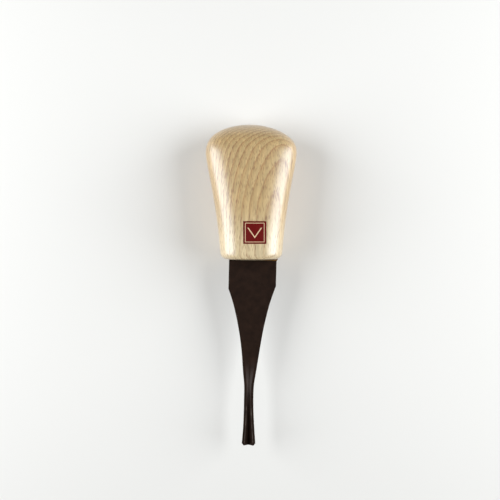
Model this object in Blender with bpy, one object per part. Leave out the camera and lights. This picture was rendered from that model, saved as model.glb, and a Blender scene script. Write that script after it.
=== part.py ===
# Palm V-tool for cutting lino and wood blocks: an ash handle that sits in the palm, and a steel
# blade with a 70 degree V, whose tang is bedded in epoxy in the front end of the handle.
#
# Metres, +Z up. The tool lies on its flat belly with the channel of the V facing up. +Y points to
# the butt and -Y to the cutting edge. The origin is on the table, under the middle of the tool.

import math

import bmesh
import bpy

# Handle, shaped from a planed board
HANDLE_LENGTH = 0.0606
HANDLE_DEPTH = 0.0254       # between the sanded flats of the top and of the belly
FRONT_CHEEK = 0.0029        # wood beside the paddle at the front, on each side
BUTT_WIDTH = 0.0404
DOME_LENGTH = 0.0128        # from the widest place to the butt
DOME_EXPONENTS = (2.4, 1.8)   # of its outline, along and across: 2 and 2 make an ellipse
TOP_FALL_START = 0.0120     # behind the front the top falls along an arc, and the belly stays flat
TOP_FALL_RADIUS = 0.193
FRONT_ROUNDING = 0.0030
FRONT_DEPTH_ROUNDING = 0.00105   # the front edge is rounded less over the top and the belly
FRONT_CROWN = 0.0005
FLAT_SANDING = 0.00045      # what the sander takes off the crown of each face
DOME_SHIFT = 0.0009         # the dome leans to -X by this much
DOME_SHIFT_LENGTH = 0.0110  # and starts to lean this far in front of the butt
SQUARENESS = 3.0            # cross sections are superellipses: 2 is an ellipse, more is squarer

# Width of the flank: share of its length behind the front, share of its widening
FLANK_SHAPE = ((0, 0), (0.30, 0.20), (0.66, 0.59), (0.89, 0.90), (1, 1))
FLANK_SLOPES = (0.65, 0.0)

# Blade, measured from the front of the handle
BLADE_REACH = 0.0820
TANG_LENGTH = 0.0300
PLATE_THICKNESS = 0.0016
PADDLE_WIDTH = 0.0211
PADDLE_LENGTH = 0.0120
SHOULDER_SKEW = 0.0016      # the -X corner of the paddle is this much further out than the +X one
TAPER_LENGTH = 0.0455
NECK_WIDTH = 0.00417
NECK_LENGTH = 0.0045
BLADE_LEAN = math.radians(1.35)   # the cutting edge leans to -X
BLADE_OFFSET = 0.0007             # and the blade leaves the handle this far to +X
NECK_DRIFT = 0.0004               # the neck bows to -X by this much, and the V comes back

# Narrowing of the taper: share of its length, share of the way from paddle to neck
TAPER_SHAPE = ((0, 0), (0.22, 0.375), (0.51, 0.69), (0.81, 0.895), (1, 1))
TAPER_SLOPES = (2.0, 0.0)

# Flare from the neck to the V, in the same two shares
FLARE_SHAPE = ((0, 0), (0.49, 0.29), (1, 1))
FLARE_SLOPES = (0.0, 1.4)

# V end of the blade
TIP_WIDTH = 0.0060
V_ANGLE = math.radians(70)
WALL = 0.0009
WING_RISE = 0.0012          # the wings' tops stand this high over the plate
WING_LAND = 0.00025
CHANNEL_LENGTH = 0.0440
FULL_V_LENGTH = 0.0080
KEEL_RADIUS = 0.0005
ROOT_RADIUS = 0.00015
GRIND_LENGTH = 0.0010
EDGE_THICKNESS = 0.0002
EDGE_LAND = 0.0001

# Epoxy bed round the tang
GLUE_LINE = 0.0003
FIT_GAP = 0.0001            # between neighbours that touch
BED_RECESS = 0.0006         # from the front of the handle to the epoxy's lip

# Foil mark, pressed into the top face
MARK_WIDTH = 0.0100
MARK_LENGTH = 0.0098
MARK_THICKNESS = 0.00025
MARK_CORNER = 0.0003
MARK_BEHIND_FRONT = 0.0122  # to its middle
MARK_OFFSET = 0.0015        # to +X

SECTION_STEPS = 48          # points round a section of the handle
CUT_OVERRUN = 0.002         # how far a cutter runs past the face that it opens

HALF_DEPTH = HANDLE_DEPTH / 2
FRONT_WIDTH = PADDLE_WIDTH + 2 * FRONT_CHEEK
FRONT_Y = (BLADE_REACH - HANDLE_LENGTH) / 2     # puts the tool's ends equally far from the origin
FLANK_LENGTH = HANDLE_LENGTH - DOME_LENGTH


def mix(start, end, share):
    return start + (end - start) * share


def share_between(start, end, value):
    return min(1.0, max(0.0, (value - start) / (end - start)))


def eased(share):
    return share * share * (3 - 2 * share)


def smooth_through(points, slopes, share):
    # A curve through the points that never overshoots them, with given slopes at its two ends
    steps = [(b[0] - a[0], (b[1] - a[1]) / (b[0] - a[0])) for a, b in zip(points, points[1:])]
    inner = [2 * a[1] * b[1] / (a[1] + b[1]) for a, b in zip(steps, steps[1:])]
    tangents = [slopes[0], *inner, slopes[1]]
    index = max(i for i in range(len(steps)) if i == 0 or share >= points[i][0])
    span = steps[index][0]
    t = (share - points[index][0]) / span
    return (points[index][1] * (1 + 2 * t) * (1 - t) ** 2
            + points[index + 1][1] * (3 - 2 * t) * t ** 2
            + span * (tangents[index] * t * (1 - t) ** 2 - tangents[index + 1] * t ** 2 * (1 - t)))


def skin(name, rings, close_ends):
    # A sheet rolled into a tube through the rings, welded along its seam. Rings of one repeated
    # point weld into a pole; other ends are closed with a face.
    across = len(rings[0])
    along = len(rings) - 1
    sheet = bmesh.new()
    bmesh.ops.create_grid(sheet, x_segments=across, y_segments=along, size=1.0)
    for vert in sheet.verts:
        column = round((vert.co.x + 1) / 2 * across) % across
        row = round((vert.co.y + 1) / 2 * along)
        vert.co = rings[row][column]
    bmesh.ops.remove_doubles(sheet, verts=sheet.verts, dist=0.0000005)
    if close_ends:
        bmesh.ops.holes_fill(sheet, edges=sheet.edges)
    bmesh.ops.recalc_face_normals(sheet, faces=sheet.faces)
    return finished_object(name, sheet)


def block(name, size, corner_radius=0.0):
    # A box with its middle at the origin; its upright edges can be rounded
    solid = bmesh.new()
    bmesh.ops.create_cube(solid, size=1.0)
    bmesh.ops.scale(solid, vec=size, verts=solid.verts)
    if corner_radius:
        upright = [edge for edge in solid.edges if abs(edge.verts[0].co.z - edge.verts[1].co.z) > size[2] / 2]
        bmesh.ops.bevel(solid, geom=upright, offset=corner_radius, segments=4, profile=0.5, affect="EDGES")
    return finished_object(name, solid)


def finished_object(name, solid):
    mesh = bpy.data.meshes.new(name)
    solid.to_mesh(mesh)
    solid.free()
    mesh.shade_smooth()
    mesh.set_sharp_from_angle(angle=math.radians(35))
    return bpy.data.objects.new(name, mesh)


def place(piece, collection, location, parent=None):
    collection.objects.link(piece)
    piece.parent = parent
    piece.location = location


def cut(piece, cutter):
    pocket = piece.modifiers.new(f"{cutter.name}_cut", "BOOLEAN")
    pocket.operation = "DIFFERENCE"
    pocket.solver = "EXACT"
    pocket.object = cutter
    cutter.display_type = "WIRE"
    cutter.hide_render = True


def give_material(piece, name, color, roughness, metallic):
    material = bpy.data.materials.new(name)
    material.use_nodes = True
    shader = material.node_tree.nodes["Principled BSDF"]
    shader.inputs["Base Color"].default_value = (*color, 1.0)
    shader.inputs["Roughness"].default_value = roughness
    shader.inputs["Metallic"].default_value = metallic
    piece.data.materials.append(material)


def left_by_dome(behind_front):
    # The share of the width and depth that the dome leaves
    into_dome = share_between(FLANK_LENGTH, HANDLE_LENGTH, behind_front)
    return (1 - into_dome ** DOME_EXPONENTS[0]) ** (1 / DOME_EXPONENTS[1])


def handle_half_width(behind_front):
    widening = smooth_through(FLANK_SHAPE, FLANK_SLOPES, min(1.0, behind_front / FLANK_LENGTH))
    return mix(FRONT_WIDTH, BUTT_WIDTH, widening) / 2 * left_by_dome(behind_front)


def handle_depth(behind_front):
    # The height of a section's middle and its half depth, before the flats are sanded
    fall = max(0.0, behind_front - TOP_FALL_START) ** 2 / (2 * TOP_FALL_RADIUS)
    return -fall / 2, (HALF_DEPTH + FLAT_SANDING - fall / 2) * left_by_dome(behind_front)


def handle_ring(behind_front, inset=0.0, shrink=1.0, y=None):
    # One cross section. The front's rounding insets it, and shrink draws it in to a pole.
    half_width = (handle_half_width(behind_front) - inset) * shrink
    middle, half_depth = handle_depth(behind_front)
    depth_inset = inset * FRONT_DEPTH_ROUNDING / FRONT_ROUNDING
    half_depth = (half_depth - depth_inset) * shrink
    flat = HALF_DEPTH - depth_inset
    lean_start = HANDLE_LENGTH - DOME_SHIFT_LENGTH
    shift = DOME_SHIFT * eased(share_between(lean_start, HANDLE_LENGTH, behind_front))
    ring = []
    for step in range(SECTION_STEPS):
        angle = 2 * math.pi * step / SECTION_STEPS
        x = half_width * math.copysign(abs(math.cos(angle)) ** (2 / SQUARENESS), math.cos(angle))
        z = half_depth * math.copysign(abs(math.sin(angle)) ** (2 / SQUARENESS), math.sin(angle))
        ring.append((x - shift, behind_front if y is None else y, min(flat, max(-flat, middle + z))))
    return ring


def make_handle():
    rings = []
    for share in (0.0, 0.3, 0.6, 0.85):         # the crowned front face, from its middle out
        rings.append(handle_ring(FRONT_CROWN, FRONT_ROUNDING, share, FRONT_CROWN * share ** 2))
    rounding_steps = 5
    for step in range(rounding_steps):
        angle = math.pi / 2 * step / rounding_steps
        behind_front = FRONT_CROWN + FRONT_ROUNDING * (1 - math.cos(angle))
        rings.append(handle_ring(behind_front, FRONT_ROUNDING * (1 - math.sin(angle))))
    flank_start = FRONT_CROWN + FRONT_ROUNDING
    flank_steps = 13
    for step in range(flank_steps):
        rings.append(handle_ring(mix(flank_start, FLANK_LENGTH, step / flank_steps)))
    dome_steps = 10
    for step in range(dome_steps + 1):
        angle = math.pi / 2 * step / dome_steps
        rings.append(handle_ring(FLANK_LENGTH + DOME_LENGTH * min(1.0, math.sin(angle))))
    handle = skin("handle", rings, close_ends=False)
    give_material(handle, "ash_oiled", (0.68, 0.52, 0.33), 0.42, 0.0)
    return handle


def blade_half_width(reach, side):
    # side is -1 or 1. Before grinding.
    shoulder = PADDLE_LENGTH - side * SHOULDER_SKEW / 2
    neck_start = PADDLE_LENGTH + TAPER_LENGTH
    flare_start = neck_start + NECK_LENGTH
    if reach < neck_start:
        share = smooth_through(TAPER_SHAPE, TAPER_SLOPES, share_between(shoulder, neck_start, reach))
        return mix(PADDLE_WIDTH, NECK_WIDTH, share) / 2
    share = share_between(flare_start, BLADE_REACH - GRIND_LENGTH, reach)
    return mix(NECK_WIDTH, TIP_WIDTH, smooth_through(FLARE_SHAPE, FLARE_SLOPES, share)) / 2


def blade_ring(reach):
    # One cross section: a flat plate where fold is 0, the V where it is 1. Its top runs from one
    # side to the other, and its underside back again.
    fold_start = BLADE_REACH - CHANNEL_LENGTH
    fold = eased(share_between(fold_start, BLADE_REACH - FULL_V_LENGTH, reach))
    grind = share_between(BLADE_REACH - GRIND_LENGTH, BLADE_REACH, reach)
    slant = math.tan(V_ANGLE / 2)
    full_wall = WALL / math.cos(V_ANGLE / 2)
    ground_wall = mix(WALL, EDGE_THICKNESS, grind) / math.cos(V_ANGLE / 2)
    wing_top = PLATE_THICKNESS / 2 + WING_RISE
    wing_bottom = wing_top - mix(WING_LAND, EDGE_LAND, grind)
    inner_half = (blade_half_width(reach, -1) + blade_half_width(reach, 1)) / 2 - full_wall
    root = wing_top - inner_half / slant
    keel = wing_top - (inner_half + ground_wall) / slant
    keel_radius = mix(KEEL_RADIUS, ROOT_RADIUS, grind)
    bow_start = PADDLE_LENGTH + TAPER_LENGTH / 2
    drift = NECK_DRIFT * math.sin(math.pi * share_between(bow_start, BLADE_REACH, reach)) ** 2

    def top(x):
        folded = min(wing_top, root + math.hypot(x, ROOT_RADIUS) / slant)
        return mix(PLATE_THICKNESS / 2, folded, fold)

    def underside(x):
        folded = min(wing_bottom, keel + math.hypot(x, keel_radius) / slant)
        return mix(-PLATE_THICKNESS / 2, folded, fold)

    columns = [0.0]
    for side in (-1, 1):
        inner = blade_half_width(reach, side) - full_wall
        for share in (0.1, 0.3, 0.55, 0.8, 1.0):        # over the channel, closer near its root
            columns.append(side * math.sqrt(inner ** 2 - ROOT_RADIUS ** 2) * share)
        for share in (0.5, 1.0):                        # over the wing's top
            columns.append(side * (inner + ground_wall * share))
    columns.sort()
    upper = [(x - drift, -reach, top(x)) for x in columns]
    lower = [(x - drift, -reach, underside(x)) for x in reversed(columns)]
    return upper + lower


def make_blade():
    neck_start = PADDLE_LENGTH + TAPER_LENGTH
    flare_start = neck_start + NECK_LENGTH
    grind_start = BLADE_REACH - GRIND_LENGTH
    stations = [-TANG_LENGTH, 0.0]
    stations += [PADDLE_LENGTH - SHOULDER_SKEW / 2, PADDLE_LENGTH + SHOULDER_SKEW / 2]
    taper_steps = 16
    stations += [mix(stations[-1], neck_start, (step + 1) / taper_steps) for step in range(taper_steps)]
    flare_steps = 10
    stations += [mix(flare_start, grind_start, step / flare_steps) for step in range(flare_steps + 1)]
    stations += [BLADE_REACH]
    blade = skin("blade", [blade_ring(reach) for reach in stations], close_ends=True)
    give_material(blade, "spring_steel_dark", (0.030, 0.022, 0.020), 0.38, 0.9)
    return blade


def make_bed(tools, mount):
    # Fills the mortise but for the fit gap, and is open at the front where the blade comes out
    around_tang = FIT_GAP + GLUE_LINE
    width = PADDLE_WIDTH + 2 * around_tang
    depth = PLATE_THICKNESS + 2 * around_tang
    length = TANG_LENGTH + around_tang - BED_RECESS
    bed = block("adhesive_bed", (width, length, depth))
    middle = BED_RECESS + length / 2
    pocket_length = TANG_LENGTH + FIT_GAP + CUT_OVERRUN
    pocket = block("tang_pocket", (PADDLE_WIDTH + 2 * FIT_GAP, pocket_length, PLATE_THICKNESS + 2 * FIT_GAP))
    place(pocket, tools, (0, pocket_length / 2 - CUT_OVERRUN, 0), mount)
    cut(bed, pocket)
    give_material(bed, "epoxy_amber", (0.30, 0.20, 0.09), 0.3, 0.0)
    return bed, (0, middle, 0)


def make_mortise():
    around_tang = 2 * FIT_GAP + GLUE_LINE
    length = TANG_LENGTH + around_tang + CUT_OVERRUN
    mortise = block("mortise", (PADDLE_WIDTH + 2 * around_tang, length, PLATE_THICKNESS + 2 * around_tang))
    return mortise, (0, length / 2 - CUT_OVERRUN, 0)


def make_mark():
    mark = block("foil_mark", (MARK_WIDTH, MARK_LENGTH, MARK_THICKNESS), MARK_CORNER)
    give_material(mark, "foil_red", (0.20, 0.007, 0.010), 0.45, 0.0)
    return mark


def make_mark_recess():
    size = (MARK_WIDTH + 2 * FIT_GAP, MARK_LENGTH + 2 * FIT_GAP, MARK_THICKNESS + FIT_GAP + CUT_OVERRUN)
    return block("mark_recess", size, MARK_CORNER + FIT_GAP)


def main():
    for old in list(bpy.data.objects):
        bpy.data.objects.remove(old, do_unlink=True)
    parts = bpy.data.collections.new("palm_v_tool")
    tools = bpy.data.collections.new("cutters")
    bpy.context.scene.collection.children.link(parts)
    bpy.context.scene.collection.children.link(tools)

    # The blade, its bed and the mortise share one seat, so they lean together
    seat = bpy.data.objects.new("blade_seat", None)
    place(seat, parts, (BLADE_OFFSET, FRONT_Y, HALF_DEPTH))
    seat.rotation_euler.z = -BLADE_LEAN

    handle = make_handle()
    place(handle, parts, (0, FRONT_Y, HALF_DEPTH))
    mortise, mortise_place = make_mortise()
    place(mortise, tools, mortise_place, seat)
    cut(handle, mortise)

    place(make_blade(), parts, (0, 0, 0), seat)
    bed, bed_place = make_bed(tools, seat)
    place(bed, parts, bed_place, seat)

    mark_y = FRONT_Y + MARK_BEHIND_FRONT
    place(make_mark(), parts, (MARK_OFFSET, mark_y, HANDLE_DEPTH - MARK_THICKNESS / 2))
    recess_floor = HANDLE_DEPTH - MARK_THICKNESS - FIT_GAP
    recess_height = MARK_THICKNESS + FIT_GAP + CUT_OVERRUN
    recess = make_mark_recess()
    place(recess, tools, (MARK_OFFSET, mark_y, recess_floor + recess_height / 2))
    cut(handle, recess)


main()
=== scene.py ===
import math

import bmesh
import bpy
from mathutils import Matrix, Vector, noise


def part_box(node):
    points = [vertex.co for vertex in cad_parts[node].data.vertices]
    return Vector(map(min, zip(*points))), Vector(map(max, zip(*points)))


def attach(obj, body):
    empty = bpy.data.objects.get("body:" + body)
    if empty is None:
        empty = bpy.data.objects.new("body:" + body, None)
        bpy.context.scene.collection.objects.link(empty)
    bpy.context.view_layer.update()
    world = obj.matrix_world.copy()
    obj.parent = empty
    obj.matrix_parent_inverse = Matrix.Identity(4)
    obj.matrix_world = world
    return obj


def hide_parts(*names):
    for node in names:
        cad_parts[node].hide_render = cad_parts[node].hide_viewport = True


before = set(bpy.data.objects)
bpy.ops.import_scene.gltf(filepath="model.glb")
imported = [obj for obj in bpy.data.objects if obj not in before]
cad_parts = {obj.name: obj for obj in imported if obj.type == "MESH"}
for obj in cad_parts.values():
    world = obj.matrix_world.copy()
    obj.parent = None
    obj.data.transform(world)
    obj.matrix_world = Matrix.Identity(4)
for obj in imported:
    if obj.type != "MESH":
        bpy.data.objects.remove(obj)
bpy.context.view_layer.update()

handleLow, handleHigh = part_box("handle")
frontY = handleLow.y                          # the middle of the handle's front end
midZ = (handleLow.z + handleHigh.z) / 2       # the blade's plate lies in this plane
topZ = handleHigh.z
print("frame loaded:", sorted(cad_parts))


# Small helpers

def mix(start, end, share):
    return start + (end - start) * share


def shareBetween(start, end, value):
    return min(1.0, max(0.0, (value - start) / (end - start)))


def eased(share):
    return share * share * (3 - 2 * share)


def smoothThrough(points, slopes, share):
    # a curve through the points that doesn't overshoot them, with given slopes at its ends
    steps = [(b[0] - a[0], (b[1] - a[1]) / (b[0] - a[0])) for a, b in zip(points, points[1:])]
    inner = [2 * a[1] * b[1] / (a[1] + b[1]) for a, b in zip(steps, steps[1:])]
    tangents = [slopes[0], *inner, slopes[1]]
    index = max(i for i in range(len(steps)) if i == 0 or share >= points[i][0])
    span = steps[index][0]
    t = (share - points[index][0]) / span
    return (points[index][1] * (1 + 2 * t) * (1 - t) ** 2
            + points[index + 1][1] * (3 - 2 * t) * t ** 2
            + span * (tangents[index] * t * (1 - t) ** 2 - tangents[index + 1] * t ** 2 * (1 - t)))


def linearColor(hexColor):
    channels = [int(hexColor[i:i + 2], 16) / 255 for i in (1, 3, 5)]
    return tuple(c / 12.92 if c <= 0.04045 else ((c + 0.055) / 1.055) ** 2.4 for c in channels) + (1.0,)


def addNode(tree, kind, settings=None, links=None):
    # one node with its settings and what feeds it; a setting is a property or an input socket
    node = tree.nodes.new("ShaderNode" + kind)
    for key, value in (settings or {}).items():
        if isinstance(key, str) and hasattr(node, key):
            setattr(node, key, value)
        else:
            node.inputs[key].default_value = value
    for key, source in (links or {}).items():
        tree.links.new(source, node.inputs[key])
    return node


def mixColors(tree, first, second, share):
    settings = {"data_type": "RGBA", 6: linearColor(first), 7: linearColor(second)}
    return addNode(tree, "Mix", settings, {0: share})


def newMaterial(name):
    material = bpy.data.materials.new(name)
    material.use_nodes = True
    tree = material.node_tree
    tree.nodes.clear()
    return material, tree


def finishPiece(name, form, materials, replaced, smoothAngle=30):
    mesh = bpy.data.meshes.new(name)
    form.to_mesh(mesh)
    openEdges = sum(1 for edge in form.edges if not edge.is_manifold)
    form.free()
    for material in materials:
        mesh.materials.append(material)
    mesh.shade_smooth()
    mesh.set_sharp_from_angle(angle=math.radians(smoothAngle))
    piece = bpy.data.objects.new(name, mesh)
    bpy.context.scene.collection.objects.link(piece)
    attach(piece, "root")
    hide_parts(replaced)
    print(name, "made:", len(mesh.polygons), "faces,", openEdges, "open edges")
    return piece


def splitByPlanes(form, isNear, planes):
    # cuts the faces near a place along each plane, so that an outline runs along edges
    for point, normal in planes:
        faces = [face for face in form.faces if isNear(face.calc_center_median())]
        edges = {edge for face in faces for edge in face.edges}
        verts = {vert for face in faces for vert in face.verts}
        bmesh.ops.bisect_plane(form, geom=[*verts, *edges, *faces], dist=0.0000002,
                               plane_co=point, plane_no=normal)


def pushIn(form, faces, move):
    # extrudes a patch of faces, moves it, and returns the rim that stays behind
    inside = set(faces)
    rim = [edge for face in faces for edge in face.edges
           if sum(1 for other in edge.link_faces if other in inside) == 1]
    rimVerts = {vert for edge in rim for vert in edge.verts}
    made = bmesh.ops.extrude_face_region(form, geom=faces)
    bmesh.ops.delete(form, geom=faces, context="FACES")
    for vert in [item for item in made["geom"] if isinstance(item, bmesh.types.BMVert)]:
        vert.co = move(vert.co)
    return [edge for edge in form.edges if edge.verts[0] in rimVerts and edge.verts[1] in rimVerts]


# Where the blade sits: its own axis leans a little to -X, about the front of the handle

seat = {"x": 0.0007, "lean": math.radians(1.35)}
seatMatrix = Matrix.Translation((seat["x"], frontY, midZ)) @ Matrix.Rotation(-seat["lean"], 4, "Z")
seatInverse = seatMatrix.inverted()


# Materials

woodLook = {
    "ringSpacing": 1.4,                 # mm between growth rings
    "ringShift": 0.83,                  # mm, which ring meets the surface where
    "pith": (71.0, 184.4),              # mm, x and z; the heart of the tree lies far over the right shoulder
    "grainLean": (0.043, 0.006),        # the fibres run this much to +X and +Z for each mm to the butt
    "leanFrom": 20,                     # mm behind the front, where the pith is measured
    "ground": "#B99D6D", "lateWood": "#A88759", "ringLine": "#8A552C", "pore": "#7C5130",
    "litFrontPaint": "#D3BF98",                  # painted light: the board is made paler towards the front end, as though more light falls there
    "poreWidth": 0.22, "poreLength": 2.5,  # mm; the large pores of ash are 0.15 to 0.35 mm wide
    "litFrontFrom": 26.0, "litFrontTo": 4.0,       # mm behind the front, where the painted light at the front end starts and where it is full
}


def makeAsh():
    # American ash: planed, sanded and oiled. Ring-porous, so each growth ring starts with a thin
    # row of open pores: the eye sees fine red-brown lines and short dashes along the grain, and
    # arcs where the dome cuts through the rings. The oil lies over it as a coat with a broad soft shine.
    look = woodLook
    material, tree = newMaterial("ashSandedAndOiled")
    place = addNode(tree, "TexCoord")
    inMm = addNode(tree, "VectorMath", {"operation": "SCALE", "Scale": 1000.0}, {0: place.outputs["Object"]})
    # rings: distance from the pith, bent by waves in the grain, 18 mm across and 50 mm along it,
    # and by ripples, 2 mm across and 11 mm along
    split = addNode(tree, "SeparateXYZ", {}, {0: inMm.outputs[0]})
    leanFrom = frontY * 1000 + look["leanFrom"]
    alongHandle = addNode(tree, "Math", {"operation": "SUBTRACT", 1: leanFrom}, {0: split.outputs["Y"]})
    leanX, leanZ = look["grainLean"]
    lean = addNode(tree, "VectorMath", {"operation": "SCALE", 0: (leanX, 0.0, leanZ)},
                   {"Scale": alongHandle.outputs[0]})
    onGrain = addNode(tree, "VectorMath", {"operation": "SUBTRACT"},
                      {0: inMm.outputs[0], 1: lean.outputs[0]})
    slow = addNode(tree, "Mapping", {"Scale": (0.055, 0.02, 0.055)}, {"Vector": inMm.outputs[0]})
    waves = addNode(tree, "TexNoise", {"Scale": 1.0, "Detail": 2.0}, {"Vector": slow.outputs[0]})
    fine = addNode(tree, "Mapping", {"Scale": (0.5, 0.09, 0.5)}, {"Vector": inMm.outputs[0]})
    ripples = addNode(tree, "TexNoise", {"Scale": 1.0, "Detail": 3.0}, {"Vector": fine.outputs[0]})
    acrossGrain = addNode(tree, "VectorMath", {"operation": "MULTIPLY", 1: (1.0, 0.0, 1.0)},
                          {0: onGrain.outputs[0]})
    pithX, pithZ = look["pith"]
    radius = addNode(tree, "VectorMath", {"operation": "DISTANCE", 1: (pithX, 0.0, pithZ)},
                     {0: acrossGrain.outputs[0]})
    bend = addNode(tree, "MapRange", {"To Min": -0.35, "To Max": 0.35}, {"Value": waves.outputs["Fac"]})
    ripple = addNode(tree, "MapRange", {"To Min": -0.11, "To Max": 0.11}, {"Value": ripples.outputs["Fac"]})
    bent = addNode(tree, "Math", {"operation": "ADD"}, {0: radius.outputs["Value"], 1: bend.outputs[0]})
    rippled = addNode(tree, "Math", {"operation": "ADD"}, {0: bent.outputs[0], 1: ripple.outputs[0]})
    shifted = addNode(tree, "Math", {"operation": "SUBTRACT", 1: look["ringShift"]}, {0: rippled.outputs[0]})
    rings = addNode(tree, "Math", {"operation": "DIVIDE", 1: look["ringSpacing"]}, {0: shifted.outputs[0]})
    phase = addNode(tree, "Math", {"operation": "FRACT"}, {0: rings.outputs[0]})
    ringNumber = addNode(tree, "Math", {"operation": "FLOOR"}, {0: rings.outputs[0]})
    ringLuck = addNode(tree, "TexWhiteNoise", {"noise_dimensions": "1D"}, {"W": ringNumber.outputs[0]})
    # the pore row takes the first part of each ring, then the wood darkens slowly to the next
    fromRow = addNode(tree, "Math", {"operation": "PINGPONG", 1: 0.5}, {0: phase.outputs[0]})
    soft = {"interpolation_type": "SMOOTHSTEP"}
    row = addNode(tree, "MapRange", {**soft, "From Min": 0.12, "From Max": 0.03},
                  {"Value": fromRow.outputs[0]})
    luck = addNode(tree, "MapRange", {"To Min": 0.35, "To Max": 1.0}, {"Value": ringLuck.outputs["Value"]})
    rowStrength = addNode(tree, "Math", {"operation": "MULTIPLY"}, {0: row.outputs[0], 1: luck.outputs[0]})
    # broken every 2 mm or so along the grain, as pores run in and out of the surface
    dashPlace = addNode(tree, "Mapping", {"Scale": (1.6, 0.55, 1.6)}, {"Vector": inMm.outputs[0]})
    dashNoise = addNode(tree, "TexNoise", {"Scale": 1.0, "Detail": 2.0}, {"Vector": dashPlace.outputs[0]})
    dashes = addNode(tree, "MapRange", {"From Min": 0.36, "From Max": 0.6, "To Min": 0.4, "To Max": 1.0},
                     {"Value": dashNoise.outputs["Fac"]})
    line = addNode(tree, "Math", {"operation": "MULTIPLY"},
                   {0: rowStrength.outputs[0], 1: dashes.outputs[0]})
    # single pores, stretched along the grain
    poreScale = (1 / look["poreWidth"] / 2.2, 1 / look["poreLength"] / 1.4, 1 / look["poreWidth"] / 2.2)
    porePlace = addNode(tree, "Mapping", {"Scale": poreScale}, {"Vector": onGrain.outputs[0]})
    poreCells = addNode(tree, "TexVoronoi", {"Scale": 1.0, "Randomness": 1.0},
                        {"Vector": porePlace.outputs[0]})
    poreSpot = addNode(tree, "MapRange", {**soft, "From Min": 0.42, "From Max": 0.16},
                       {"Value": poreCells.outputs["Distance"]})
    poreZone = addNode(tree, "MapRange", {**soft, "From Min": 0.45, "From Max": 0.05, "To Min": 0.46,
                                          "To Max": 0.82}, {"Value": fromRow.outputs[0]})
    pores = addNode(tree, "Math", {"operation": "MULTIPLY"},
                    {0: poreSpot.outputs[0], 1: poreZone.outputs[0]})
    # fibres, far coarser than real ones so that they show: streaks 1 mm across and 12 mm long, with
    # finer ones in them; and patches of tone, 14 mm across
    fibrePlace = addNode(tree, "Mapping", {"Scale": (0.95, 0.085, 0.95)}, {"Vector": onGrain.outputs[0]})
    fibres = addNode(tree, "TexNoise", {"Scale": 1.0, "Detail": 3.0, "Roughness": 0.75},
                     {"Vector": fibrePlace.outputs[0]})
    patches = addNode(tree, "TexNoise", {"Scale": 0.07, "Detail": 2.0}, {"Vector": inMm.outputs[0]})
    late = addNode(tree, "MapRange", {**soft, "From Min": 0.2, "From Max": 1.0, "To Max": 0.75},
                   {"Value": phase.outputs[0]})
    ground = mixColors(tree, look["ground"], look["lateWood"], late.outputs[0])
    # painted light: towards the front end the board is mixed to a paler colour, as though lit more there
    litFrontFrom, litFrontTo = look["litFrontFrom"] - look["leanFrom"], look["litFrontTo"] - look["leanFrom"]
    litFrontShare = addNode(tree, "MapRange", {**soft, "From Min": litFrontFrom, "From Max": litFrontTo, "To Max": 0.75},
                      {"Value": alongHandle.outputs[0]})
    board = addNode(tree, "Mix", {"data_type": "RGBA", 7: linearColor(look["litFrontPaint"])},
                    {0: litFrontShare.outputs[0], 6: ground.outputs[2]})
    withLine = addNode(tree, "Mix", {"data_type": "RGBA", 7: linearColor(look["ringLine"])},
                       {0: line.outputs[0], 6: board.outputs[2]})
    withPores = addNode(tree, "Mix", {"data_type": "RGBA", 7: linearColor(look["pore"])},
                        {0: pores.outputs[0], 6: withLine.outputs[2]})
    fibreTone = addNode(tree, "MapRange", {"From Min": 0.3, "From Max": 0.7, "To Min": 0.78, "To Max": 1.2},
                        {"Value": fibres.outputs["Fac"]})
    patchTone = addNode(tree, "MapRange", {"From Min": 0.3, "From Max": 0.7, "To Min": 0.94, "To Max": 1.05},
                        {"Value": patches.outputs["Fac"]})
    tone = addNode(tree, "Math", {"operation": "MULTIPLY"},
                   {0: fibreTone.outputs[0], 1: patchTone.outputs[0]})
    toned = addNode(tree, "VectorMath", {"operation": "SCALE"},
                    {0: withPores.outputs[2], "Scale": tone.outputs[0]})
    # open pores are small grooves, and the row between them is a little sunk
    groove = addNode(tree, "Math", {"operation": "MULTIPLY_ADD", 1: 0.4},
                     {0: line.outputs[0], 2: pores.outputs[0]})
    fibreHeight = addNode(tree, "Math", {"operation": "MULTIPLY", 1: 0.25}, {0: fibres.outputs["Fac"]})
    height = addNode(tree, "Math", {"operation": "SUBTRACT"},
                     {0: fibreHeight.outputs[0], 1: groove.outputs[0]})
    relief = addNode(tree, "Bump", {"Strength": 0.5, "Distance": 0.00006}, {"Height": height.outputs[0]})
    rough = addNode(tree, "MapRange", {"To Min": 0.44, "To Max": 0.6}, {"Value": groove.outputs[0]})
    shader = addNode(tree, "BsdfPrincipled",
                     {"IOR": 1.5, "Coat Weight": 1.0, "Coat Roughness": 0.32, "Coat IOR": 1.7},
                     {"Base Color": toned.outputs[0], "Roughness": rough.outputs[0],
                      "Normal": relief.outputs[0]})
    addNode(tree, "OutputMaterial", {}, {"Surface": shader.outputs[0]})
    return material


steelLook = {
    "scale": "#241710", "rubbed": "#585049",
    "lineWidth": 0.16, "lineLength": 14.0,      # mm, about three times as coarse as real grinding lines
}


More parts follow.
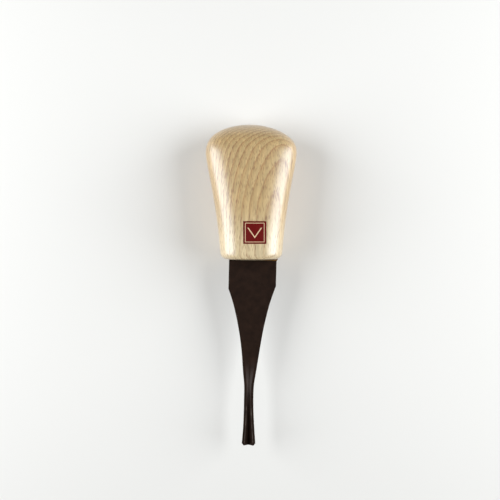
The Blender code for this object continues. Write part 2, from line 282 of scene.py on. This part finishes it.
def makeDarkSteel():
    # Spring steel plate, hardened and left with its dark oil-quench scale over fine grinding
    # lines: near black with a brown cast, satin, and a little brighter where edges are rubbed.
    look = steelLook
    material, tree = newMaterial("springSteelQuenchScale")
    place = addNode(tree, "TexCoord")
    along = addNode(tree, "Mapping", {"Rotation": (0, 0, seat["lean"]), "Scale": (1000, 1000, 1000)},
                    {"Vector": place.outputs["Object"]})
    linePlace = addNode(tree, "Mapping", {"Scale": (1 / look["lineWidth"], 1 / look["lineLength"], 0.5)},
                        {"Vector": along.outputs[0]})
    lines = addNode(tree, "TexNoise", {"Scale": 1.0, "Detail": 3.0}, {"Vector": linePlace.outputs[0]})
    # the scale is uneven in patches 3 mm across, and speckled at 0.3 mm
    mottle = addNode(tree, "TexNoise", {"Scale": 0.35, "Detail": 5.0, "Roughness": 0.62},
                     {"Vector": along.outputs[0]})
    specks = addNode(tree, "TexNoise", {"Scale": 3.0, "Detail": 2.0}, {"Vector": along.outputs[0]})
    rubbed = addNode(tree, "Attribute", {"attribute_name": "rub"})
    rubBreak = addNode(tree, "MapRange", {"From Min": 0.35, "From Max": 0.65},
                       {"Value": mottle.outputs["Fac"]})
    rub = addNode(tree, "Math", {"operation": "MULTIPLY"},
                  {0: rubbed.outputs["Fac"], 1: rubBreak.outputs[0]})
    color = mixColors(tree, look["scale"], look["rubbed"], rub.outputs[0])
    tone = addNode(tree, "MapRange", {"From Min": 0.3, "From Max": 0.7, "To Min": 0.7, "To Max": 1.3},
                   {"Value": mottle.outputs["Fac"]})
    toned = addNode(tree, "VectorMath", {"operation": "SCALE"},
                    {0: color.outputs[2], "Scale": tone.outputs[0]})
    roughBase = addNode(tree, "MapRange", {"From Min": 0.3, "From Max": 0.7, "To Min": 0.36, "To Max": 0.5},
                        {"Value": specks.outputs["Fac"]})
    height = addNode(tree, "Math", {"operation": "MULTIPLY_ADD", 1: 0.5},
                     {0: specks.outputs["Fac"], 2: lines.outputs["Fac"]})
    relief = addNode(tree, "Bump", {"Strength": 0.35, "Distance": 0.00002}, {"Height": height.outputs[0]})
    bare = addNode(tree, "MapRange", {"To Min": 0.25, "To Max": 0.9}, {"Value": rub.outputs[0]})
    shader = addNode(tree, "BsdfPrincipled", {"Specular IOR Level": 0.15},
                     {"Base Color": toned.outputs[0], "Roughness": roughBase.outputs[0],
                      "Metallic": bare.outputs[0], "Normal": relief.outputs[0]})
    addNode(tree, "OutputMaterial", {}, {"Surface": shader.outputs[0]})
    return material


groundLook = {"steel": "#B9B6B1", "lineWidth": 0.05, "lineLength": 3.0}      # mm


def makeGroundSteel():
    # The cutting bevel, ground and honed through the scale: bright steel with fine lines that
    # run along the edge.
    look = groundLook
    material, tree = newMaterial("springSteelGroundBevel")
    place = addNode(tree, "TexCoord")
    across, alongEdge = 1000 / look["lineWidth"], 1000 / look["lineLength"]
    linePlace = addNode(tree, "Mapping", {"Scale": (alongEdge, across, alongEdge)},
                        {"Vector": place.outputs["Object"]})
    lines = addNode(tree, "TexNoise", {"Scale": 1.0, "Detail": 3.0}, {"Vector": linePlace.outputs[0]})
    rough = addNode(tree, "MapRange", {"To Min": 0.16, "To Max": 0.36}, {"Value": lines.outputs["Fac"]})
    relief = addNode(tree, "Bump", {"Strength": 0.3, "Distance": 0.00001}, {"Height": lines.outputs["Fac"]})
    shader = addNode(tree, "BsdfPrincipled", {"Metallic": 1.0, "Base Color": linearColor(look["steel"])},
                     {"Roughness": rough.outputs[0], "Normal": relief.outputs[0]})
    addNode(tree, "OutputMaterial", {}, {"Surface": shader.outputs[0]})
    return material


epoxyLook = {"resin": "#7A5A30", "cloud": "#5C4122", "cloudsPerMetre": 900.0}


def makeEpoxy():
    # Two-part epoxy, squeezed out and set: amber brown, clouded with wood dust, wet looking.
    look = epoxyLook
    material, tree = newMaterial("epoxySetAmber")
    place = addNode(tree, "TexCoord")
    cloud = addNode(tree, "TexNoise", {"Scale": look["cloudsPerMetre"], "Detail": 3.0},
                    {"Vector": place.outputs["Object"]})
    color = mixColors(tree, look["resin"], look["cloud"], cloud.outputs["Fac"])
    relief = addNode(tree, "Bump", {"Strength": 0.3, "Distance": 0.00005}, {"Height": cloud.outputs["Fac"]})
    shader = addNode(tree, "BsdfPrincipled", {"Roughness": 0.22, "IOR": 1.55, "Subsurface Weight": 0.15,
                                              "Subsurface Radius": (0.001, 0.0006, 0.0003)},
                     {"Base Color": color.outputs[2], "Normal": relief.outputs[0]})
    addNode(tree, "OutputMaterial", {}, {"Surface": shader.outputs[0]})
    return material


foilLook = {
    "red": "#5E0504", "worn": "#6E1A14", "cream": "#D2B48F",
    "slant": math.radians(35), "notchReach": 2.1, "strokeWidth": 0.44,     # mm, here and below
    "keylineAt": 4.1, "keylineWidth": 0.24, "blur": 0.05,
}


def makeFoil(centre):
    # Pigment stamping foil pressed on wood: deep red, satin, with the grain telegraphing through.
    # Its generic mark, a keyline and a V notch, is bare cream.
    look = foilLook
    material, tree = newMaterial("stampingFoilRed")
    place = addNode(tree, "TexCoord")
    centreX, centreY = centre
    onMark = addNode(tree, "Mapping",
                     {"Location": (-centreX * 1000, -centreY * 1000, 0), "Scale": (1000, 1000, 0)},
                     {"Vector": place.outputs["Object"]})
    split = addNode(tree, "SeparateXYZ", {}, {0: onMark.outputs[0]})
    side = addNode(tree, "Math", {"operation": "ABSOLUTE"}, {0: split.outputs["X"]})
    # the V: two straight strokes that meet at the bottom
    slope, rise = math.cos(look["slant"]), math.sin(look["slant"])
    across = addNode(tree, "Math", {"operation": "MULTIPLY", 1: slope}, {0: side.outputs[0]})
    down = addNode(tree, "Math", {"operation": "MULTIPLY_ADD", 1: -rise, 2: -rise * look["notchReach"]},
                   {0: split.outputs["Y"]})
    off = addNode(tree, "Math", {"operation": "ADD"}, {0: across.outputs[0], 1: down.outputs[0]})
    offStroke = addNode(tree, "Math", {"operation": "ABSOLUTE"}, {0: off.outputs[0]})
    half, blur = look["strokeWidth"] / 2, look["blur"]
    stroke = addNode(tree, "MapRange", {"From Min": half + blur, "From Max": half - blur},
                     {"Value": offStroke.outputs[0]})
    notchTop = look["notchReach"]
    topEnd = addNode(tree, "MapRange", {"From Min": notchTop + blur, "From Max": notchTop - blur},
                     {"Value": split.outputs["Y"]})
    notch = addNode(tree, "Math", {"operation": "MULTIPLY"}, {0: stroke.outputs[0], 1: topEnd.outputs[0]})
    # the keyline, a thin square a little inside the edge
    upDown = addNode(tree, "Math", {"operation": "ABSOLUTE"}, {0: split.outputs["Y"]})
    square = addNode(tree, "Math", {"operation": "MAXIMUM"}, {0: side.outputs[0], 1: upDown.outputs[0]})
    fromKey = addNode(tree, "Math", {"operation": "SUBTRACT", 1: look["keylineAt"]}, {0: square.outputs[0]})
    offKey = addNode(tree, "Math", {"operation": "ABSOLUTE"}, {0: fromKey.outputs[0]})
    half = look["keylineWidth"] / 2
    key = addNode(tree, "MapRange", {"From Min": half + blur, "From Max": half - blur},
                  {"Value": offKey.outputs[0]})
    drawn = addNode(tree, "Math", {"operation": "MAXIMUM"}, {0: notch.outputs[0], 1: key.outputs[0]})
    # the grain shows through as streaks 0.3 mm across and 5 mm long
    grainPlace = addNode(tree, "Mapping", {"Scale": (3000, 220, 3000)}, {"Vector": place.outputs["Object"]})
    grain = addNode(tree, "TexNoise", {"Scale": 1.0, "Detail": 3.0}, {"Vector": grainPlace.outputs[0]})
    thin = addNode(tree, "MapRange", {"From Min": 0.55, "From Max": 0.8}, {"Value": grain.outputs["Fac"]})
    red = mixColors(tree, look["red"], look["worn"], thin.outputs[0])
    color = addNode(tree, "Mix", {"data_type": "RGBA", 7: linearColor(look["cream"])},
                    {0: drawn.outputs[0], 6: red.outputs[2]})
    relief = addNode(tree, "Bump", {"Strength": 0.4, "Distance": 0.00003}, {"Height": grain.outputs["Fac"]})
    shader = addNode(tree, "BsdfPrincipled", {"Roughness": 0.28, "IOR": 1.45},
                     {"Base Color": color.outputs[2], "Normal": relief.outputs[0]})
    addNode(tree, "OutputMaterial", {}, {"Surface": shader.outputs[0]})
    return material


# Handle

handleForm = {
    "frontHalfWidth": 0.01345, "length": handleHigh.y - handleLow.y, "widest": handleHigh.x,
    "domeLength": 0.0128, "domeAlong": 2.4, "domeAcross": 1.8,
    "topFallStart": 0.0120, "topFallRadius": 0.193, "flatSanding": 0.00045, "squareness": 3.0,
    "rounding": 0.003, "depthRounding": 0.35,       # the front edge is rounded less over its top and belly
    "crown": 0.0005, "domeShift": 0.0009, "domeShiftLength": 0.011,
    # share of the way back to the dome, and share of the widening reached there
    "flank": ((0, 0), (0.30, 0.20), (0.66, 0.59), (0.89, 0.90), (1, 1)), "flankSlopes": (0.65, 0.0),
    "around": 176, "along": 150,
    # where on the sphere the flat end stops, its rounded edge stops and the dome starts
    "endShare": 0.08, "edgeShare": 0.18, "domeShare": 0.72,
    "sandingWave": 0.00005, "waveLength": 0.011,    # the belt sander leaves the flanks a little uneven
}
pocket = {
    "halfWidth": 0.01105, "halfDepth": 0.0013, "length": 0.0305, "rim": 0.00012,
    "cutBehind": 0.0022, "cutAround": 0.004,        # skin this near the mouth is cut along its outline
}
mark = {
    "x": 0.0015, "y": frontY + 0.0122, "halfWidth": 0.0050, "halfLength": 0.0049, "thickness": 0.0002,
    "sunk": 0.00005,                                # pressed this far under the flat
    "gap": 0.00006, "bedGap": 0.00002,              # round its sides, and over and under it together
    "rim": 0.00005, "foilEdge": 0.00005, "corner": 0.00025,
}


def handleSection(behindFront, angle, inset=0.0, shrink=1.0):
    # x and z of the skin at one angle round a cross section
    form = handleForm
    flankLength = form["length"] - form["domeLength"]
    widening = smoothThrough(form["flank"], form["flankSlopes"], min(1.0, behindFront / flankLength))
    intoDome = shareBetween(flankLength, form["length"], behindFront)
    leftByDome = (1 - intoDome ** form["domeAlong"]) ** (1 / form["domeAcross"])
    fall = max(0.0, behindFront - form["topFallStart"]) ** 2 / (2 * form["topFallRadius"])
    halfWidth = mix(form["frontHalfWidth"], form["widest"], widening) * leftByDome
    halfDepth = (midZ + form["flatSanding"] - fall / 2) * leftByDome
    power = 2 / form["squareness"]
    insetZ = inset * form["depthRounding"]
    x = (halfWidth - inset) * shrink * math.copysign(abs(math.cos(angle)) ** power, math.cos(angle))
    z = (halfDepth - insetZ) * shrink * math.copysign(abs(math.sin(angle)) ** power, math.sin(angle))
    z -= fall / 2
    shiftShare = shareBetween(form["length"] - form["domeShiftLength"], form["length"], behindFront)
    return x - form["domeShift"] * eased(shiftShare), min(midZ - insetZ, max(insetZ - midZ, z))


def handlePoint(onSphere):
    # a point of the unit sphere with its poles on Y becomes the same point of the handle
    form = handleForm
    share = math.acos(max(-1.0, min(1.0, -onSphere.y))) / math.pi       # 0 at the front, 1 at the butt
    angle = math.atan2(onSphere.z, onSphere.x)
    flankStart = form["crown"] + form["rounding"]
    flankEnd = form["length"] - form["domeLength"]
    endShare, edgeShare, domeShare = form["endShare"], form["edgeShare"], form["domeShare"]
    if share < endShare:
        shrink = share / endShare
        behindFront = form["crown"] * shrink ** 2
        x, z = handleSection(form["crown"], angle, form["rounding"], shrink)
    elif share < edgeShare:
        turn = math.pi / 2 * (share - endShare) / (edgeShare - endShare)
        behindFront = form["crown"] + form["rounding"] * (1 - math.cos(turn))
        x, z = handleSection(behindFront, angle, form["rounding"] * (1 - math.sin(turn)))
    elif share < domeShare:
        behindFront = mix(flankStart, flankEnd, (share - edgeShare) / (domeShare - edgeShare))
        x, z = handleSection(behindFront, angle)
    else:
        turn = math.pi / 2 * (share - domeShare) / (1 - domeShare)
        behindFront = flankEnd + form["domeLength"] * min(1.0, math.sin(turn))
        x, z = handleSection(behindFront, angle)
    return Vector((x, frontY + behindFront, midZ + z))


def makeHandle(ash):
    form = bmesh.new()
    bmesh.ops.create_uvsphere(form, u_segments=handleForm["around"], v_segments=handleForm["along"],
                              radius=1.0)
    bmesh.ops.rotate(form, verts=form.verts, matrix=Matrix.Rotation(-math.pi / 2, 3, "X"))
    for vert in form.verts:
        vert.co = handlePoint(vert.co)
    bmesh.ops.recalc_face_normals(form, faces=form.faces)
    form.normal_update()
    for vert in form.verts:         # inwards only, and not on the sanded flats, the front or the rims
        offFlats = shareBetween(0.3, 0.8, 1 - abs(vert.normal.z))
        offFront = shareBetween(0.9, 0.5, abs(vert.normal.y))
        wave = 0.5 + 0.5 * noise.noise(vert.co / handleForm["waveLength"])
        vert.co -= vert.normal * handleForm["sandingWave"] * (offFlats * offFront) * wave

    # the mortise, open at the front
    def nearMouth(point):
        return point.y < frontY + pocket["cutBehind"] and abs(point.z - midZ) < pocket["cutAround"]
    planes = []
    sideways = seatMatrix.to_3x3() @ Vector((1, 0, 0))
    for sign in (-1, 1):
        planes.append((seatMatrix @ Vector((sign * pocket["halfWidth"], 0, 0)), sideways))
        planes.append((seatMatrix @ Vector((0, 0, sign * pocket["halfDepth"])), Vector((0, 0, 1))))
    splitByPlanes(form, nearMouth, planes)

    def inMouth(point):
        local = seatInverse @ point
        return (abs(local.x) < pocket["halfWidth"] and abs(local.z) < pocket["halfDepth"]
                and point.y < frontY + pocket["cutBehind"])

    def toPocketFloor(point):
        local = seatInverse @ point
        return seatMatrix @ Vector((local.x, pocket["length"], local.z))
    mouth = [face for face in form.faces if inMouth(face.calc_center_median())]
    rim = pushIn(form, mouth, toPocketFloor)
    bmesh.ops.bevel(form, geom=rim, affect="EDGES", offset=pocket["rim"], segments=2, profile=0.5,
                    material=-1)

    # the shallow recess that the foil is pressed into
    halfX, halfY = mark["halfWidth"] + mark["gap"], mark["halfLength"] + mark["gap"]

    def overMark(point, margin=0.002):
        near = abs(point.x - mark["x"]) < halfX + margin and abs(point.y - mark["y"]) < halfY + margin
        return point.z > midZ and near
    planes = []
    for sign in (-1, 1):
        planes.append((Vector((mark["x"] + sign * halfX, 0, 0)), Vector((1, 0, 0))))
        planes.append((Vector((0, mark["y"] + sign * halfY, 0)), Vector((0, 1, 0))))
    splitByPlanes(form, overMark, planes)

    pressed = [face for face in form.faces if overMark(face.calc_center_median(), margin=0.0)]
    recessDepth = mark["sunk"] + mark["thickness"]
    rim = pushIn(form, pressed, lambda point: point - Vector((0, 0, recessDepth)))
    bmesh.ops.bevel(form, geom=rim, affect="EDGES", offset=mark["rim"], segments=2, profile=0.5, material=-1)
    return finishPiece("ash_handle", form, [ash], "handle", smoothAngle=40)


# Blade

bladeForm = {
    "reach": 0.0820, "tang": 0.0300, "thickness": 0.0016, "paddleWidth": 0.0211, "paddleLength": 0.0120,
    "skew": 0.0016,                                 # the +X shoulder starts this much before the -X one
    "drift": 0.0004,                                # the drawn-down half bows this far to -X
    "taperLength": 0.0455, "neckWidth": 0.00417, "neckLength": 0.0045,
    # share of the way along, and share of the narrowing or widening reached there
    "taper": ((0, 0), (0.22, 0.375), (0.51, 0.69), (0.81, 0.895), (1, 1)), "taperSlopes": (2.0, 0.0),
    "flare": ((0, 0), (0.49, 0.29), (1, 1)), "flareSlopes": (0.0, 1.4),
    "tipWidth": 0.0060, "vAngle": math.radians(70), "wall": 0.0009, "wingRise": 0.0012, "land": 0.00025,
    "channelLength": 0.044, "fullV": 0.008, "keelRadius": 0.0005, "rootRadius": 0.00015,
    "grind": 0.0010, "edge": 0.0002, "edgeLand": 0.0001, "edgeBreak": 0.0001,
    "breakStopsAt": 0.0004, "rimTurn": math.radians(50),        # before the grinding; sharper turns are rims
    "rows": (12, 8, 2, 46, 5, 26, 6),               # of faces between the corners along the blade
    "innerColumns": (0.04, 0.1, 0.2, 0.35, 0.5, 0.65, 0.8, 0.92, 1.0), "wallColumns": (0.25, 0.5, 0.8, 1.0),
}


def bladeHalfWidth(reach, side):
    form = bladeForm
    shoulder = form["paddleLength"] - side * form["skew"] / 2
    neckStart = form["paddleLength"] + form["taperLength"]
    if reach < neckStart:
        share = shareBetween(shoulder, neckStart, reach)
        narrowing = smoothThrough(form["taper"], form["taperSlopes"], share)
        return mix(form["paddleWidth"], form["neckWidth"], narrowing) / 2
    share = shareBetween(neckStart + form["neckLength"], form["reach"] - form["grind"], reach)
    widening = smoothThrough(form["flare"], form["flareSlopes"], share)
    return mix(form["neckWidth"], form["tipWidth"], widening) / 2


def vSection(reach):
    # the heights and widths of the V at one place, before it is mixed with the flat plate
    form = bladeForm
    slant = math.tan(form["vAngle"] / 2)
    grind = shareBetween(form["reach"] - form["grind"], form["reach"], reach)
    fullWall = form["wall"] / math.cos(form["vAngle"] / 2)
    wall = mix(form["wall"], form["edge"], grind) / math.cos(form["vAngle"] / 2)
    inner = (bladeHalfWidth(reach, -1) + bladeHalfWidth(reach, 1)) / 2 - fullWall
    wingTop = form["thickness"] / 2 + form["wingRise"]
    fold = eased(shareBetween(form["reach"] - form["channelLength"], form["reach"] - form["fullV"], reach))
    return {"slant": slant, "fold": fold, "fullWall": fullWall, "wall": wall, "wingTop": wingTop,
            "wingBottom": wingTop - mix(form["land"], form["edgeLand"], grind),
            "root": wingTop - inner / slant, "keel": wingTop - (inner + wall) / slant,
            "keelRadius": mix(form["keelRadius"], form["rootRadius"], grind)}


def bladeTop(x, v):
    folded = min(v["wingTop"], v["root"] + math.hypot(x, bladeForm["rootRadius"]) / v["slant"])
    return mix(bladeForm["thickness"] / 2, folded, v["fold"])


def bladeUnderside(x, v):
    folded = min(v["wingBottom"], v["keel"] + math.hypot(x, v["keelRadius"]) / v["slant"])
    return mix(-bladeForm["thickness"] / 2, folded, v["fold"])


def bladeColumns(reach, v):
    # where the lengthwise lines cross one section: close at the channel's root and at the rims
    columns = [0.0]
    for side in (-1, 1):
        inner = bladeHalfWidth(reach, side) - v["fullWall"]
        crease = math.sqrt(inner ** 2 - bladeForm["rootRadius"] ** 2)
        for share in bladeForm["innerColumns"]:
            columns.append(side * crease * share)
        for share in bladeForm["wallColumns"]:
            columns.append(side * (inner + v["wall"] * share))
    return sorted(columns)


def makeBlade(darkSteel, groundSteel):
    form = bladeForm
    neckStart = form["paddleLength"] + form["taperLength"]
    flareStart = neckStart + form["neckLength"]
    grindStart = form["reach"] - form["grind"]
    corners = [-form["tang"], 0.0, form["paddleLength"] - form["skew"] / 2,
               form["paddleLength"] + form["skew"] / 2, neckStart, flareStart, grindStart, form["reach"]]
    stations = []
    for start, end, rows in zip(corners, corners[1:], form["rows"]):
        stations += [mix(start, end, row / rows) for row in range(rows)]
    stations.append(form["reach"])
    sections = [vSection(reach) for reach in stations]
    columns = [bladeColumns(reach, v) for reach, v in zip(stations, sections)]
    across, along = len(columns[0]) - 1, len(stations) - 1
    plate = bmesh.new()
    bmesh.ops.create_grid(plate, x_segments=across, y_segments=along, size=1.0)
    rowOf = plate.verts.layers.int.new("row")
    for vert in plate.verts:
        column, row = round((vert.co.x + 1) / 2 * across), round((vert.co.y + 1) / 2 * along)
        vert[rowOf] = row
        vert.co = (columns[row][column], -stations[row], bladeTop(columns[row][column], sections[row]))
    made = bmesh.ops.extrude_face_region(plate, geom=list(plate.faces), use_keep_orig=True)
    under = {item for item in made["geom"] if isinstance(item, bmesh.types.BMVert)}
    for vert in under:
        vert.co.z = bladeUnderside(vert.co.x, sections[vert[rowOf]])
    bmesh.ops.recalc_face_normals(plate, faces=plate.faces)
    for face in plate.faces:        # the outside of the last stretch is ground bright
        reach = -face.calc_center_median().y
        face.material_index = int(grindStart < reach and face.normal.z < -0.1)
    # the rims are broken with a stone, up to where the grinding starts
    rims = []
    for edge in plate.edges:
        turn = edge.calc_face_angle(0.0)
        nearTip = max(-vert.co.y for vert in edge.verts) > grindStart - form["breakStopsAt"]
        if turn > form["rimTurn"] and not nearTip:
            rims.append(edge)
    made = bmesh.ops.bevel(plate, geom=rims, affect="EDGES", offset=form["edgeBreak"], segments=2,
                           profile=0.5, material=-1)
    rub = plate.verts.layers.float.new("rub")
    for face in made["faces"]:
        for vert in face.verts:
            vert[rub] = 1.0
    bowStart = form["paddleLength"] + form["taperLength"] / 2
    for vert in plate.verts:
        bow = math.sin(math.pi * shareBetween(bowStart, form["reach"], -vert.co.y)) ** 2
        vert.co.x -= form["drift"] * bow
    plate.transform(seatMatrix)
    return finishPiece("v_blade", plate, [darkSteel, groundSteel], "blade")


# Epoxy round the tang, with its lip in the mouth of the mortise

lipForm = {
    "halfWidth": 0.01105, "halfDepth": 0.0013, "length": 0.0299, "start": 0.0005, "lip": 0.004,
    "sagShare": 0.55, "sag": 0.0001,                # how far over to the steel it sags, and how much
    "climb": 0.0005, "steelGap": 0.00001,           # it climbs the steel
    "uneven": 0.00016, "unevenLength": 1 / 700, "cuts": 47,
}


def makeEpoxyBed(epoxy):
    form = bmesh.new()
    bmesh.ops.create_cube(form, size=1.0)
    length = lipForm["length"]
    bmesh.ops.scale(form, vec=(2 * lipForm["halfWidth"], length, 2 * lipForm["halfDepth"]), verts=form.verts)
    bmesh.ops.translate(form, vec=(0, lipForm["start"] + length / 2, 0), verts=form.verts)
    bmesh.ops.bisect_plane(form, geom=[*form.verts, *form.edges, *form.faces], dist=0.0000001,
                           plane_co=(0, lipForm["start"] + lipForm["lip"], 0), plane_no=(0, 1, 0))
    mouth = [face for face in form.faces if face.calc_center_median().y < lipForm["start"] + 0.0001]
    # two rings inwards: the middle one sags between wood and steel, the inner one climbs the steel
    toSteel = lipForm["halfDepth"] - bladeForm["thickness"] / 2
    toSag = toSteel * lipForm["sagShare"]
    bmesh.ops.inset_region(form, faces=mouth, thickness=toSag, depth=0.0)
    for vert in {vert for face in mouth for vert in face.verts}:
        vert.co.y += lipForm["sag"]
    bmesh.ops.inset_region(form, faces=mouth, thickness=toSteel - toSag - lipForm["steelGap"], depth=0.0)
    for vert in {vert for face in mouth for vert in face.verts}:
        vert.co.y -= lipForm["climb"]
    pushIn(form, mouth, lambda point: Vector((point.x, bladeForm["tang"], point.z)))
    longEdges = [edge for edge in form.edges if abs(edge.verts[0].co.x - edge.verts[1].co.x) > 0.01]
    bmesh.ops.subdivide_edges(form, edges=longEdges, cuts=lipForm["cuts"], use_grid_fill=True)
    for vert in form.verts:
        if vert.co.y < lipForm["start"] + lipForm["lip"] / 2:
            vert.co.y += lipForm["uneven"] * noise.noise(vert.co / lipForm["unevenLength"])
    bmesh.ops.recalc_face_normals(form, faces=form.faces)
    form.transform(seatMatrix)
    return finishPiece("epoxy_bed", form, [epoxy], "adhesive_bed", smoothAngle=50)


# Foil mark

def makeFoilMark(foil):
    form = bmesh.new()
    bmesh.ops.create_cube(form, size=1.0)
    size = (2 * mark["halfWidth"], 2 * mark["halfLength"], mark["thickness"] - mark["bedGap"])
    bmesh.ops.scale(form, vec=size, verts=form.verts)
    upright = [edge for edge in form.edges if abs(edge.verts[0].co.z - edge.verts[1].co.z) > 0.0001]
    bmesh.ops.bevel(form, geom=upright, affect="EDGES", offset=mark["corner"], segments=4, profile=0.5,
                    material=-1)
    top = [face for face in form.faces if face.normal.z > 0.9]
    rim = [edge for face in top for edge in face.edges]
    bmesh.ops.bevel(form, geom=rim, affect="EDGES", offset=mark["foilEdge"], segments=2, profile=0.5,
                    material=-1)
    middle = topZ - mark["sunk"] - mark["thickness"] / 2
    bmesh.ops.translate(form, vec=(mark["x"], mark["y"], middle), verts=form.verts)
    return finishPiece("pressed_foil", form, [foil], "foil_mark")


makeHandle(makeAsh())
makeBlade(makeDarkSteel(), makeGroundSteel())
makeEpoxyBed(makeEpoxy())
makeFoilMark(makeFoil((mark["x"], mark["y"])))


# Floor, lights and camera

studio = {
    "floor": "#DDD9D3", "floorSize": 1.5, "floorGap": 0.0001,
    "world": "#FFFDF8", "worldStrength": 0.15,
    "sideDistance": 0.45, "sideHeight": 0.33, "sideY": frontY + 0.05,
    "sideSize": (0.47, 0.62), "sideWatts": 5.8, "sideColor": "#F3F9FF",     # daylight flash
}
view = {"x": -0.00056, "y": frontY + 0.00462, "height": 0.55, "lens": 89.1}      # height over the blade


def makeFloor():
    form = bmesh.new()
    bmesh.ops.create_grid(form, x_segments=1, y_segments=1, size=studio["floorSize"])
    mesh = bpy.data.meshes.new("floor")
    form.to_mesh(mesh)
    form.free()
    material, tree = newMaterial("paperSweepMatte")
    shader = addNode(tree, "BsdfPrincipled", {"Base Color": linearColor(studio["floor"]), "Roughness": 0.9})
    addNode(tree, "OutputMaterial", {}, {"Surface": shader.outputs[0]})
    mesh.materials.append(material)
    floor = bpy.data.objects.new("floor", mesh)
    bpy.context.scene.collection.objects.link(floor)
    floor.location.z = -studio["floorGap"]


def addSoftbox(name, place, target, size, watts):
    light = bpy.data.lights.new(name, "AREA")
    light.shape = "RECTANGLE"
    light.size, light.size_y = size
    light.energy = watts
    light.color = linearColor(studio["sideColor"])[:3]
    box = bpy.data.objects.new(name, light)
    bpy.context.scene.collection.objects.link(box)
    box.location = place
    box.rotation_euler = (target - place).to_track_quat("-Z", "Y").to_euler()


def lightStudio():
    world = bpy.data.worlds.new("studio")
    world.use_nodes = True
    background = world.node_tree.nodes["Background"]
    background.inputs["Color"].default_value = linearColor(studio["world"])
    background.inputs["Strength"].default_value = studio["worldStrength"]
    bpy.context.scene.world = world
    target = Vector((0, studio["sideY"], studio["sideHeight"]))
    for name, side in (("softboxLeft", -1), ("softboxRight", 1)):       # upright panels
        place = target + Vector((side * studio["sideDistance"], 0, 0))
        addSoftbox(name, place, target, studio["sideSize"], studio["sideWatts"])
    bpy.context.scene.view_settings.view_transform = "Standard"


def placeCamera():
    data = bpy.data.cameras.new("camera")
    data.lens = view["lens"]
    camera = bpy.data.objects.new("camera", data)
    bpy.context.scene.collection.objects.link(camera)
    camera.location = (view["x"], view["y"], midZ + view["height"])     # looks straight down, +Y up
    bpy.context.scene.camera = camera


makeFloor()
lightStudio()
placeCamera()
print("studio ready")
